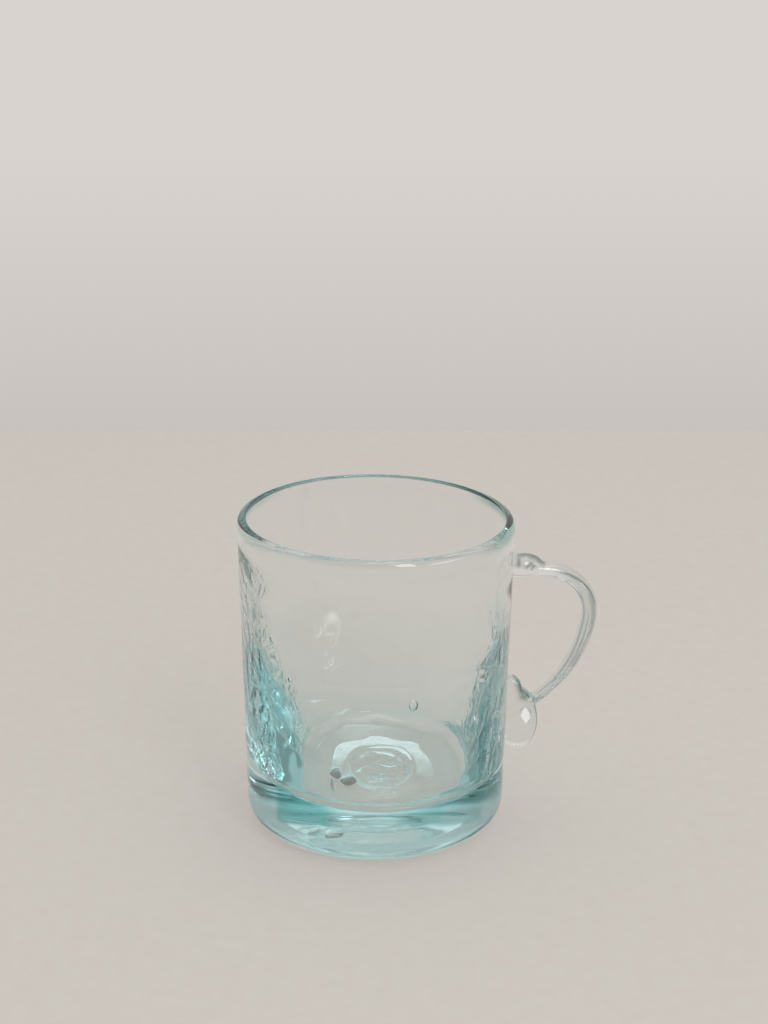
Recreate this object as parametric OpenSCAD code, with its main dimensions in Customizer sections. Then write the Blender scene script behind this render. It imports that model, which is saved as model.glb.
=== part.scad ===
// Hand-blown cup of aqua glass with a heavy base and an applied loop handle.
// Millimetres, +Z up. The origin is on the cup's axis, on the surface it stands on; the handle points to +X.

/* [Cup] */
// Height of the cup
cup_h = 74; // [64:1:90]
// Outside diameter at the rim
rim_d = 63.2; // [56:0.2:72]
// Outside diameter of the wall's straight line where it would meet the table
foot_d = 59.5; // [52:0.5:66]
// Radius of the rounded heel
heel_r = 6; // [3:0.5:7]

/* [Wall] */
// Thickness of the rim
rim_t = 2.2; // [2:0.1:3]
// Rounding of the rim's outer edge
rim_round_out = 1.4; // [0.6:0.1:1.5]
// Rounding of the rim's inner edge
rim_round_in = 0.5; // [0.2:0.1:0.6]
// Height of the thickened band at the rim
rim_band = 6; // [4:0.5:10]
// Radius of the bend at the band's lower edge
band_bend_r = 12; // [4:1:20]
// Thickness of the wall below the rim's band
wall_t = 1.6; // [1.2:0.1:2]
// Height at which the wall starts to thicken
thick_z = 43.5; // [40:0.5:50]
// Thickness of the wall at that height, measured to the corner that the bend rounds
thick_t = 1.4; // [1.2:0.1:2]
// Radius of the bend where the wall starts to thicken
thick_bend_r = 45; // [20:5:60]

/* [Floor] */
// Height of the floor inside the cup
floor_z = 11.5; // [10:0.5:16]
// Diameter of the floor inside the cup, measured to the corner that the rounding takes off
floor_d = 43.6; // [38:0.2:46]
// Radius of the corner between the floor and the wall
floor_round = 5.5; // [3:0.5:7]
// Diameter of the low dome in the floor
dome_d = 22; // [16:1:24]
// Rise of the low dome in the floor
dome_h = 0.8; // [0.4:0.1:1.2]
// Thickness of the bubble's own bottom over the base
bubble_t = 3.5; // [2.5:0.5:4]

/* [Underside] */
// Diameter of the hollow at the table
hollow_d = 26; // [24:1:30]
// Diameter of the hollow's level ceiling, measured to the corner that the rounding takes off
hollow_top_d = 18; // [17:1:20]
// Depth of the hollow
hollow_h = 1.5; // [1.2:0.1:1.8]
// Radius of the bend between the hollow's ceiling and its side
hollow_round = 5; // [3:0.5:6]
// Diameter of the pontil mark
pontil_d = 14; // [12:0.5:14]
// Thickness of the pontil mark at its edge
pontil_t = 0.8; // [0.6:0.1:1]
// Diameter of the level middle of the dish in the pontil mark, measured to the corner that the bend rounds
dish_d = 9; // [7:0.5:9]
// Depth of that dish
dish_h = 0.3; // [0.2:0.1:0.4]
// Radius of the bend between the dish's middle and its side
dish_round = 6; // [4:1:8]
// Rounding of the pontil mark's lower edge
pontil_round = 0.3; // [0.2:0.1:0.4]

/* [Handle] */
// Thickness of the strap
strap_t = 3.3; // [2.6:0.1:4]
// Width of the strap
strap_w = 5.4; // [4.4:0.2:7]
// Drop from the rim to the middle of the strap's top stretch
handle_drop = 13.2; // [12:0.2:18]
// Reach from the wall to the middle of the strap at its outermost point
handle_reach = 17.9; // [16:0.1:22]
// Height from the middle of the lower pad to the middle of the strap's top stretch
grip_h = 34.2; // [30:0.2:38]
// Radius of the upper bend, to the strap's middle
upper_bend_r = 10.2; // [8:0.2:12]

/* [Upper pad] */
// Radius of the dome
upper_pad_r = 5.7; // [5:0.1:6.4]
// Distance from the wall to the middle of the dome
upper_pad_stand = 1.8; // [1.2:0.1:2.4]
// Distance from the middle of the dome to the face that the strap is joined to
upper_pad_face = 4; // [3.5:0.1:4.2]

/* [Lower pad] */
// Radius of the main lobe
main_lobe_r = 4.7; // [4.2:0.1:5.2]
// Distance from the wall to the middle of the main lobe
main_lobe_stand = 2.8; // [2:0.1:3.4]
// How far the strap's end lies out from the middle of the main lobe
strap_seat_out = 2.7; // [2.2:0.1:3.2]
// How far the strap's end lies above the middle of the main lobe
strap_seat_up = 1.5; // [1:0.1:2]
// Radius of the tail's lobe
tail_lobe_r = 3.9; // [3.4:0.1:4.4]
// Distance from the wall to the middle of the tail's lobe
tail_lobe_stand = 3.6; // [2.8:0.1:3.8]
// Drop from the middle of the main lobe to the middle of the tail's lobe
tail_lobe_drop = 5.9; // [5:0.1:6.5]
// Radius of the lip above the main lobe
lip_r = 2.6; // [2:0.1:3]
// Distance from the wall to the middle of the lip
lip_stand = 1; // [0.6:0.1:1.6]
// Rise from the middle of the main lobe to the middle of the lip
lip_rise = 4.8; // [4:0.1:5.4]

/* [Hidden] */
$fn = 96;
aqua = [0.66, 0.86, 0.85, 0.45];
pale_aqua = [0.82, 0.91, 0.91, 0.45];
frosted = [0.86, 0.9, 0.89, 0.8];
// Straight steps that make up one rounded corner
corner_steps = 10;
// Length by which a cut runs past what it cuts
overrun = 2;

rim_r = rim_d / 2;
foot_r = foot_d / 2;
floor_r = floor_d / 2;
dome_r = dome_d / 2;
hollow_r = hollow_d / 2;
hollow_top_r = hollow_top_d / 2;
pontil_r = pontil_d / 2;
dish_r = dish_d / 2;
// Height of the level seam between the bubble and the base
seam_z = floor_z - bubble_t;
// Height of the lower edge of the rim's band
band_z = cup_h - rim_band;
// Height of the pontil mark's lower edge, and of the middle of its dish
pontil_z = hollow_h - pontil_t;
dish_z = pontil_z + dish_h;
// Radius of the sphere that the floor's dome is part of, and half the angle that the dome takes up on it
dome_sphere_r = (dome_r * dome_r + dome_h * dome_h) / (2 * dome_h);
dome_half_angle = asin(dome_r / dome_sphere_r);

// Outside radius of the wall at a height
function wall_r(z) = foot_r + (rim_r - foot_r) * z / cup_h;

// The handle's places: X is out from the cup's axis
strap_top_z = cup_h - handle_drop;
bend_z = strap_top_z - upper_bend_r;
upper_bend_x = wall_r(strap_top_z) + handle_reach - upper_bend_r;
upper_pad_floor = strap_top_z - strap_t / 2;
upper_face_x = wall_r(upper_pad_floor) + upper_pad_stand + upper_pad_face;
main_lobe_z = strap_top_z - grip_h;
main_lobe_x = wall_r(main_lobe_z) + main_lobe_stand;
tail_lobe_z = main_lobe_z - tail_lobe_drop;
lip_z = main_lobe_z + lip_rise;
// The lower bend leaves the upper one smoothly at its level end, and ends at the strap's seat on the main lobe
seat_in = upper_bend_x + upper_bend_r - main_lobe_x - strap_seat_out;
seat_drop = bend_z - main_lobe_z - strap_seat_up;
lower_bend_r = (seat_in * seat_in + seat_drop * seat_drop) / (2 * seat_in);
lower_bend_x = upper_bend_x + upper_bend_r - lower_bend_r;
lower_turn = atan2(seat_drop, lower_bend_r - seat_in);

function unit(v) = v / norm(v);

function turned(v, angle) = [v[0] * cos(angle) - v[1] * sin(angle), v[0] * sin(angle) + v[1] * cos(angle)];

// Points along the arc that rounds the corner at b, between its neighbours a and c
function corner(a, b, c, r) =
    let (to_a = unit(a - b), to_c = unit(c - b), half_angle = acos(to_a * to_c) / 2)
    let (middle = b + unit(to_a + to_c) * r / sin(half_angle))
    let (start = b + to_a * r / tan(half_angle) - middle)
    let (turn = sign(cross(to_a, to_c)) * (2 * half_angle - 180))
    [for (i = [0 : corner_steps]) middle + turned(start, turn * i / corner_steps)];

function place(corner_entry) = [corner_entry[0], corner_entry[1]];

// Outline from corners written as [radius, height], or as [radius, height, rounding]
function rounded(corners) =
    let (n = len(corners))
    [for (i = [0 : n - 1])
        let (here = corners[i], before = corners[(i + n - 1) % n], after = corners[(i + 1) % n])
        each len(here) == 2 ? [here] : corner(place(before), place(here), place(after), here[2])];

// Points along the floor's low dome, from its edge to the axis
dome_points = [for (i = [0 : corner_steps])
    let (angle = dome_half_angle * (1 - i / corner_steps))
    [dome_sphere_r * sin(angle), floor_z + dome_h - dome_sphere_r * (1 - cos(angle))]];

// Section of the strap, with its thickness along X and its width along Y
module strap_section() {
    square([strap_t, strap_w - strap_t], center = true);
    for (side = [-1, 1])
        translate([0, side * (strap_w - strap_t) / 2])
            circle(d = strap_t);
}

// One bend of the strap in the XZ plane, which turns up from its level end
module strap_bend(r, turn) {
    rotate([90, 0, 0])
        rotate_extrude(angle = turn)
            translate([r, 0])
                strap_section();
}

// Everything inside the cup's outer wall, on which the pads are seated, with its seam away from the handle
module cup_envelope() {
    rotate([0, 0, 180])
        cylinder(h = cup_h, r1 = foot_r, r2 = rim_r);
}

// A round lump of glass on the wall at a height, with its poles in line with the cup's radius
module lobe(stand, z, r) {
    translate([wall_r(z) + stand, 0, z])
        rotate([0, 90, 0])
            sphere(r = r);
}

module bowl() {
    color(aqua)
        rotate_extrude()
            polygon(rounded(concat(
                [
                    [0, seam_z],
                    [wall_r(seam_z), seam_z],
                    [rim_r, cup_h, rim_round_out],
                    [rim_r - rim_t, cup_h, rim_round_in],
                    [wall_r(band_z) - wall_t, band_z, band_bend_r],
                    [wall_r(thick_z) - thick_t, thick_z, thick_bend_r],
                    [floor_r, floor_z, floor_round]
                ],
                dome_points
            )));
}

module base() {
    color(aqua)
        rotate_extrude()
            polygon(rounded([
                [0, hollow_h],
                [hollow_top_r, hollow_h, hollow_round],
                [hollow_r, 0],
                [foot_r, 0, heel_r],
                [wall_r(seam_z), seam_z],
                [0, seam_z]
            ]));
}

module pontil_mark() {
    color(frosted)
        rotate_extrude()
            polygon(rounded([
                [0, dish_z],
                [dish_r, dish_z, dish_round],
                [pontil_r, pontil_z, pontil_round],
                [pontil_r, hollow_h],
                [0, hollow_h]
            ]));
}

module upper_pad() {
    block = 2 * (upper_pad_r + overrun);
    color(pale_aqua)
        intersection() {
            difference() {
                lobe(upper_pad_stand, upper_pad_floor, upper_pad_r);
                cup_envelope();
            }
            translate([upper_face_x - block, -block / 2, upper_pad_floor])
                cube(block);
        }
}

module handle_strap() {
    color(pale_aqua) {
        translate([upper_face_x, 0, strap_top_z])
            rotate([0, 90, 0])
                linear_extrude(upper_bend_x - upper_face_x)
                    strap_section();
        translate([upper_bend_x, 0, bend_z])
            strap_bend(upper_bend_r, 90);
        translate([lower_bend_x, 0, bend_z])
            mirror([0, 0, 1])
                strap_bend(lower_bend_r, lower_turn);
    }
}

// The main lobe, cut square to the strap where the strap is joined to it
module main_lobe() {
    block = 2 * (main_lobe_r + overrun);
    difference() {
        lobe(main_lobe_stand, main_lobe_z, main_lobe_r);
        translate([lower_bend_x, 0, bend_z])
            rotate([0, lower_turn, 0])
                translate([lower_bend_r, 0, block / 2])
                    cube(block, center = true);
    }
}

module lower_pad() {
    color(pale_aqua)
        difference() {
            union() {
                main_lobe();
                lobe(tail_lobe_stand, tail_lobe_z, tail_lobe_r);
                lobe(lip_stand, lip_z, lip_r);
            }
            cup_envelope();
        }
}

bowl();
base();
pontil_mark();
upper_pad();
handle_strap();
lower_pad();
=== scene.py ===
"""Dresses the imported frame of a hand-blown cup of pale aqua glass with an applied loop handle.

Lengths in the classes are in millimetres and become metres where a mesh, a lamp or the camera is made.
Scales and rates of the materials are to the metre.
+X points to the handle, -Y to the viewer and +Z up, as in the frame.
"""

import logging
import math
from dataclasses import dataclass, field
from enum import Enum
from functools import reduce
from typing import Iterable, Sequence

import bmesh
import bpy
import numpy as np
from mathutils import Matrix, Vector


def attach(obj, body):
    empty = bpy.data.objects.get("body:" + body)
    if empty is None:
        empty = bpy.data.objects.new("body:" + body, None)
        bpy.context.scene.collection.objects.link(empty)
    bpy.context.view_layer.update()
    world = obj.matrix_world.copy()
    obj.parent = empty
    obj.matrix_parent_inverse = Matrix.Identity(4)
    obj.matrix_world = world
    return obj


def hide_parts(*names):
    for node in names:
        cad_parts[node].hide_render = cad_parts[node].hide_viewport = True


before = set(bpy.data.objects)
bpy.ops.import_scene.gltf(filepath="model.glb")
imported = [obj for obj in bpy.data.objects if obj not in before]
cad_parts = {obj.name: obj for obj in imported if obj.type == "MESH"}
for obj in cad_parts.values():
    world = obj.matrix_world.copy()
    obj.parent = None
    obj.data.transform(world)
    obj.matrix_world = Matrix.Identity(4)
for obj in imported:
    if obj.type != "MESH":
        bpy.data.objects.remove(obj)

LOG = logging.getLogger("glass_cup")
MM = 0.001
BODY = "root"
# Values painted on the meshes, which the materials read by these names
WELD = "weld"
WORKED = "worked"
SCUFFED = "scuffed"
SOOT = "soot"
# The last one is painted shade: how much of a darker colour is laid on the glass
PAINTED_SHADE = "painted_shade"
# A painted value above this counts as set
MARKED = 0.5
# The material that tells the faces of a cutting tool from the others
CUT_SIDE = "cut_side"
# A length below the first counts as nothing, and a radius below the second as on the axis
TINY = 1e-9
ON_AXIS = 1e-6
# A face with more corners than this is split
QUAD = 4
# How nodes are laid out, and the colour sockets of a Mix node
NODE_STEP = (220, 180)
NODES_PER_ROW = 6
MIX_FIRST, MIX_SECOND, MIX_RESULT = 6, 7, 2

Triple = tuple[float, float, float]


class Skin(Enum):
    """The skin of the glass that a stretch of a section follows."""

    CAP = "cap"
    OUTSIDE = "outside"
    INSIDE = "inside"
    UNDERSIDE = "underside"


class Side(Enum):
    """Which side of a cutting plane is kept."""

    BEHIND = -1
    AHEAD = 1


@dataclass(frozen=True)
class Corner:
    """A corner of a section, with the radius that rounds it."""

    r: float
    z: float
    rounding: float = 0.0

    def spot(self) -> np.ndarray:
        """Gives the corner's place in the section."""
        return np.array([self.r, self.z])


@dataclass(frozen=True)
class Stretch:
    """A run of a section along one skin of the glass."""

    skin: Skin
    path: np.ndarray


@dataclass(frozen=True)
class Ripple:
    """A smooth unevenness of hand-worked glass, as a sum of seeded waves."""

    height: float
    length: float
    seed: int
    stretch: Triple = (1.0, 1.0, 1.0)
    waves: int = 48
    spread: tuple[float, float] = (0.7, 1.4)

    def at(self, spots: np.ndarray) -> np.ndarray:
        """Works out the unevenness at places in the glass.

        Args:
            spots: Places in millimetres, one a row.

        Returns:
            The height of the ripple at each place, in millimetres.
        """
        rng = np.random.default_rng(self.seed)
        ways = rng.normal(size=(self.waves, 3))
        ways /= np.linalg.norm(ways, axis=1, keepdims=True)
        sizes = rng.uniform(*self.spread, (self.waves, 1))
        ways *= 2 * math.pi / self.length * sizes * np.array(self.stretch)
        phases = rng.uniform(0, 2 * math.pi, self.waves)
        return self.height * math.sqrt(2 / self.waves) * np.cos(spots @ ways.T + phases).sum(axis=1)


def eased(values: np.ndarray, start: float | np.ndarray, end: float | np.ndarray) -> np.ndarray:
    """Rises smoothly from 0 at start to 1 at end.

    Args:
        values: The values to ease.
        start: The value that gives 0.
        end: The value that gives 1, which may be below start.

    Returns:
        The eased values.
    """
    share = np.clip((values - start) / (end - start), 0, 1)
    return share * share * (3 - 2 * share)


@dataclass(frozen=True)
class Fade:
    """A smooth change from nothing at one value to full at another, which may be the lower one."""

    nothing: float
    full: float

    def at(self, values: np.ndarray) -> np.ndarray:
        """Gives the share that is reached at each value."""
        return eased(values, self.nothing, self.full)


def headings(path: np.ndarray) -> np.ndarray:
    """Works out the direction of a path at each of its points.

    Args:
        path: Points along the path, one a row.

    Returns:
        Directions of length 1, one a row.
    """
    ways = np.gradient(path, axis=0)
    return ways / np.maximum(np.linalg.norm(ways, axis=1, keepdims=True), TINY)


def arc_round(
    before: np.ndarray, here: np.ndarray, after: np.ndarray, radius: float, steps: int = 14
) -> np.ndarray:
    """Traces the arc that rounds one corner.

    Args:
        before: The corner before it.
        here: The corner.
        after: The corner after it.
        radius: The radius of the arc.
        steps: Straight steps in the arc.

    Returns:
        Points along the arc, one a row.
    """
    to_before = (before - here) / np.linalg.norm(before - here)
    to_after = (after - here) / np.linalg.norm(after - here)
    half = math.acos(float(np.clip(to_before @ to_after, -1, 1))) / 2
    bisector = (to_before + to_after) / np.linalg.norm(to_before + to_after)
    middle = here + bisector * radius / math.sin(half)
    start = here + to_before * radius / math.tan(half) - middle
    turn = math.copysign(math.pi - 2 * half, to_before[1] * to_after[0] - to_before[0] * to_after[1])
    angles = np.linspace(0, turn, steps + 1)
    return np.array([
        middle + (
            start[0] * math.cos(a) - start[1] * math.sin(a),
            start[0] * math.sin(a) + start[1] * math.cos(a),
        )
        for a in angles
    ])


def trace(corners: Sequence[Corner], step: float) -> np.ndarray:
    """Traces an open outline through corners, in short even steps.

    Args:
        corners: The corners, of which the first and last are the outline's ends.
        step: The longest step in millimetres.

    Returns:
        Points along the outline as radius and height, one a row.
    """
    path = [corners[0].spot()]
    for before, here, after in zip(corners, corners[1:], corners[2:]):
        if here.rounding:
            path.extend(arc_round(before.spot(), here.spot(), after.spot(), here.rounding))
        else:
            path.append(here.spot())
    path.append(corners[-1].spot())
    fine = [path[0]]
    for start, end in zip(path, path[1:]):
        count = max(1, math.ceil(float(np.linalg.norm(end - start)) / step))
        fine.extend(start + (end - start) * i / count for i in range(1, count + 1))
    return np.array(fine)


class Shell:
    """A closed skin of glass while it is being made."""

    def __init__(self, spots: np.ndarray, faces: list[tuple[int, ...]], weld: np.ndarray) -> None:
        """Keeps the skin's shape, with nothing painted on it yet.

        Args:
            spots: The skin's points in millimetres, one a row.
            faces: Its faces, by the numbers of their points.
            weld: For each face, whether it is a weld.
        """
        self.spots = spots
        self.faces = faces
        self.weld = weld
        self.worked = np.zeros(len(spots))
        self.scuffed = np.zeros(len(spots))
        self.soot = np.zeros(len(spots))
        self.painted_shade = np.zeros(len(spots))

    def mesh(self, name: str) -> bpy.types.Mesh:
        """Makes a Blender mesh of the skin.

        Args:
            name: The mesh's name.

        Returns:
            The mesh in metres, with its attributes and sharp weld borders.
        """
        mesh = bpy.data.meshes.new(name)
        mesh.from_pydata((self.spots * MM).tolist(), [], self.faces)
        for key, values in (
            (WORKED, self.worked), (SCUFFED, self.scuffed), (SOOT, self.soot), (PAINTED_SHADE, self.painted_shade),
        ):
            mesh.attributes.new(key, "FLOAT", "POINT").data.foreach_set("value", values.astype(np.float32))
        mark_welds(mesh, self.weld)
        return mesh


def mark_welds(mesh: bpy.types.Mesh, weld: np.ndarray) -> None:
    """Writes which faces are welds, and makes their borders sharp and everything else smooth.

    Args:
        mesh: The mesh to mark.
        weld: For each face, whether it is a weld.
    """
    if WELD not in mesh.attributes:
        mesh.attributes.new(WELD, "FLOAT", "FACE")
    mesh.attributes[WELD].data.foreach_set("value", weld.astype(np.float32))
    mesh.update()
    mesh.shade_smooth()
    work = bmesh.new()
    work.from_mesh(mesh)
    work.faces.ensure_lookup_table()
    for edge in work.edges:
        edge.smooth = len({bool(weld[face.index]) for face in edge.link_faces}) < 2
    work.to_mesh(mesh)
    work.free()


def shown(name: str, data: bpy.types.ID) -> bpy.types.Object:
    """Puts a mesh, a lamp or a camera into the scene.

    Args:
        name: The object's name.
        data: What the object shows.

    Returns:
        The new object.
    """
    obj = bpy.data.objects.new(name, data)
    bpy.context.scene.collection.objects.link(obj)
    return obj


def settled(obj: bpy.types.Object) -> bpy.types.Mesh:
    """Applies an object's modifiers.

    Args:
        obj: The object.

    Returns:
        A new mesh with every modifier applied.
    """
    graph = bpy.context.evaluated_depsgraph_get()
    final = obj.evaluated_get(graph)
    return bpy.data.meshes.new_from_object(final, preserve_all_data_layers=True, depsgraph=graph)


def discard(*objects: bpy.types.Object) -> None:
    """Takes helper objects out of the file."""
    for obj in objects:
        bpy.data.objects.remove(obj, do_unlink=True)


def cut_away(name: str, target: bpy.types.Mesh, tool: bpy.types.Mesh) -> tuple[bpy.types.Mesh, np.ndarray]:
    """Cuts one closed mesh out of another.

    Args:
        name: The name of the new mesh.
        target: The mesh that is cut.
        tool: The mesh that is taken away.

    Returns:
        The cut mesh, and for each of its faces whether the tool made it.
    """
    plain, cut = bpy.data.materials.new("plain_side"), bpy.data.materials.new(CUT_SIDE)
    for mesh, material in ((target, plain), (tool, cut)):
        mesh.materials.clear()
        mesh.materials.append(material)
        mesh.polygons.foreach_set("material_index", np.zeros(len(mesh.polygons), dtype=np.int32))
    body, knife = shown("cut_body", target), shown("cut_knife", tool)
    step = body.modifiers.new("cut", "BOOLEAN")
    step.operation, step.solver, step.material_mode, step.object = "DIFFERENCE", "EXACT", "TRANSFER", knife
    mesh = settled(body)
    mesh.name = name
    index = np.zeros(len(mesh.polygons), dtype=np.int32)
    mesh.polygons.foreach_get("material_index", index)
    slots_from_tool = [bool(slot) and slot.name.startswith(CUT_SIDE) for slot in mesh.materials]
    from_tool = np.array(slots_from_tool or [False])[index]
    mesh.polygons.foreach_set("material_index", np.zeros(len(mesh.polygons), dtype=np.int32))
    mesh.materials.clear()
    discard(body, knife)
    bpy.data.materials.remove(plain)
    bpy.data.materials.remove(cut)
    return mesh, from_tool


def spin(
    stretches: Sequence[Stretch], turns: int, crowding: float = 0.0
) -> tuple[Shell, np.ndarray, np.ndarray]:
    """Spins a section that starts and ends on the axis into a closed skin.

    Args:
        stretches: The section's runs, each starting where the one before ends.
        turns: Steps round the axis.
        crowding: How much closer the steps lie at the left and right than on average.

    Returns:
        The skin, the direction out of the glass at each point, and the number of the stretch that
        each point is on.
    """
    path = np.vstack([stretches[0].path[:1]] + [stretch.path[1:] for stretch in stretches])
    runs = np.concatenate([np.full(len(stretch.path) - 1, i) for i, stretch in enumerate(stretches)])
    owner = np.concatenate([[0], runs])
    caps = np.array([stretch.skin is Skin.CAP for stretch in stretches])
    # A point where a cap meets another skin belongs to that skin
    for i in np.flatnonzero(np.diff(owner)):
        owner[i] = owner[i + 1] if caps[owner[i]] else owner[i]
    even = np.arange(turns) * 2 * math.pi / turns
    angles = even - crowding / 2 * np.sin(2 * even)
    rings, spots, outward, owners = [], [], [], []
    for (r, z), (along_r, along_z), run in zip(path, headings(path), owner):
        around = angles if r > ON_AXIS else angles[:1]
        side, front, level = np.cos(around), np.sin(around), np.ones(len(around))
        first = sum(len(ring) for ring in rings)
        rings.append(range(first, first + len(around)))
        spots.append(np.column_stack([r * side, r * front, z * level]))
        outward.append(np.column_stack([along_z * side, along_z * front, -along_r * level]))
        owners.append(np.full(len(around), run))
    faces, weld = [], []
    for low, high, is_cap in zip(rings, rings[1:], caps[runs]):
        for j in range(turns):
            k = (j + 1) % turns
            if len(low) == 1:
                faces.append((low[0], high[k], high[j]))
            elif len(high) == 1:
                faces.append((low[j], low[k], high[0]))
            else:
                faces.append((low[j], low[k], high[k], high[j]))
            weld.append(bool(is_cap))
    return Shell(np.vstack(spots), faces, np.array(weld)), np.vstack(outward), np.concatenate(owners)


@dataclass(frozen=True)
class Seed:
    """A small bubble or dark speck caught in the glass, by its place round the cup."""

    angle: float
    z: float
    depth: float
    across: float
    tall: float
    thick: float
    soot: float = 0.0
    fineness: int = 3


@dataclass(frozen=True)
class HandWork:
    """The waves and hammer marks of a hand-worked cup, and how far up, down and round they reach."""

    left_top: Fade = Fade(66, 50)
    right_top: Fade = Fade(56, 40)
    sides: Fade = Fade(0.84, 0.95)
    marked_foot: Fade = Fade(12, 15)
    wavy: Ripple = Ripple(0.012, 5.0, 11)
    wavy_foot: Fade = Fade(14, 22)
    hammer_coarse: Ripple = Ripple(0.06, 2.6, 16, (1, 1, 0.7))
    hammer_fine: Ripple = Ripple(0.03, 1.2, 17)
    hammer_left: float = 1.4
    hammer_right: Ripple = Ripple(0.06, 6.0, 18, (1.6, 1.6, 0.5))
    hammer_foot: Fade = Fade(13, 18)
    inner: Ripple = Ripple(0.03, 14.0, 13, (0.5, 0.5, 1.2))
    inner_top: Fade = Fade(73, 66)
    outer: Ripple = Ripple(0.03, 18.0, 14, (0.6, 0.6, 1.2))
    outer_foot: Fade = Fade(1, 6)
    outer_top: Fade = Fade(73, 68)
    hollow: Ripple = Ripple(0.03, 9.0, 15)
    past_hollow: Fade = Fade(1, -2)
    past_seat: Fade = Fade(0, 2)

    def hammered(self, spots: np.ndarray) -> np.ndarray:
        """Works out the hammer marks, which are stronger at the left and broader at the right.

        Args:
            spots: Places in millimetres, one a row.

        Returns:
            The height of the marks at each place, in millimetres.
        """
        marks = self.hammer_coarse.at(spots) + self.hammer_fine.at(spots)
        marks *= np.where(spots[:, 0] < 0, self.hammer_left, 1.0)
        return marks + np.where(spots[:, 0] > 0, self.hammer_right.at(spots), 0)


@dataclass(frozen=True)
class HeelShade:
    """A band of painted shade between the floor and the heel, standing for the shaded table seen through the
    base, as a tint on the front wall.
    """

    low: float = 10.4
    high: float = 13.6
    spread: float = 2.8
    spread_x: float = 20.0
    low_soft: float = 0.6
    high_soft: float = 0.8
    left: tuple[Fade, Fade] = (Fade(-23.0, -21.5), Fade(-6.0, -13.0))
    right: tuple[Fade, Fade] = (Fade(25.0, 23.5), Fade(2.0, 9.0))
    right_share: float = 0.6
    middle_half: float = 15.0
    middle_share: float = 0.2

    def at(self, spots: np.ndarray) -> np.ndarray:
        """Works out the painted shade at places on the outer wall, before the wall is shaped.

        Args:
            spots: Places in millimetres, one a row.

        Returns:
            How strong the painted shade is at each place.
        """
        x, y, z = spots.T
        spread = self.spread * (x / self.spread_x) ** 2
        low, high = self.low - spread, self.high + spread
        upright = eased(z, low - self.low_soft, low + self.low_soft)
        upright *= eased(z, high + self.high_soft, high - self.high_soft)
        left = self.left[0].at(x) * self.left[1].at(x)
        right = self.right_share * self.right[0].at(x) * self.right[1].at(x)
        middle = self.middle_share * (np.abs(x) < self.middle_half)
        return (y < 0) * upright * (middle + np.maximum(left, right)).clip(0, 1)


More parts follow.
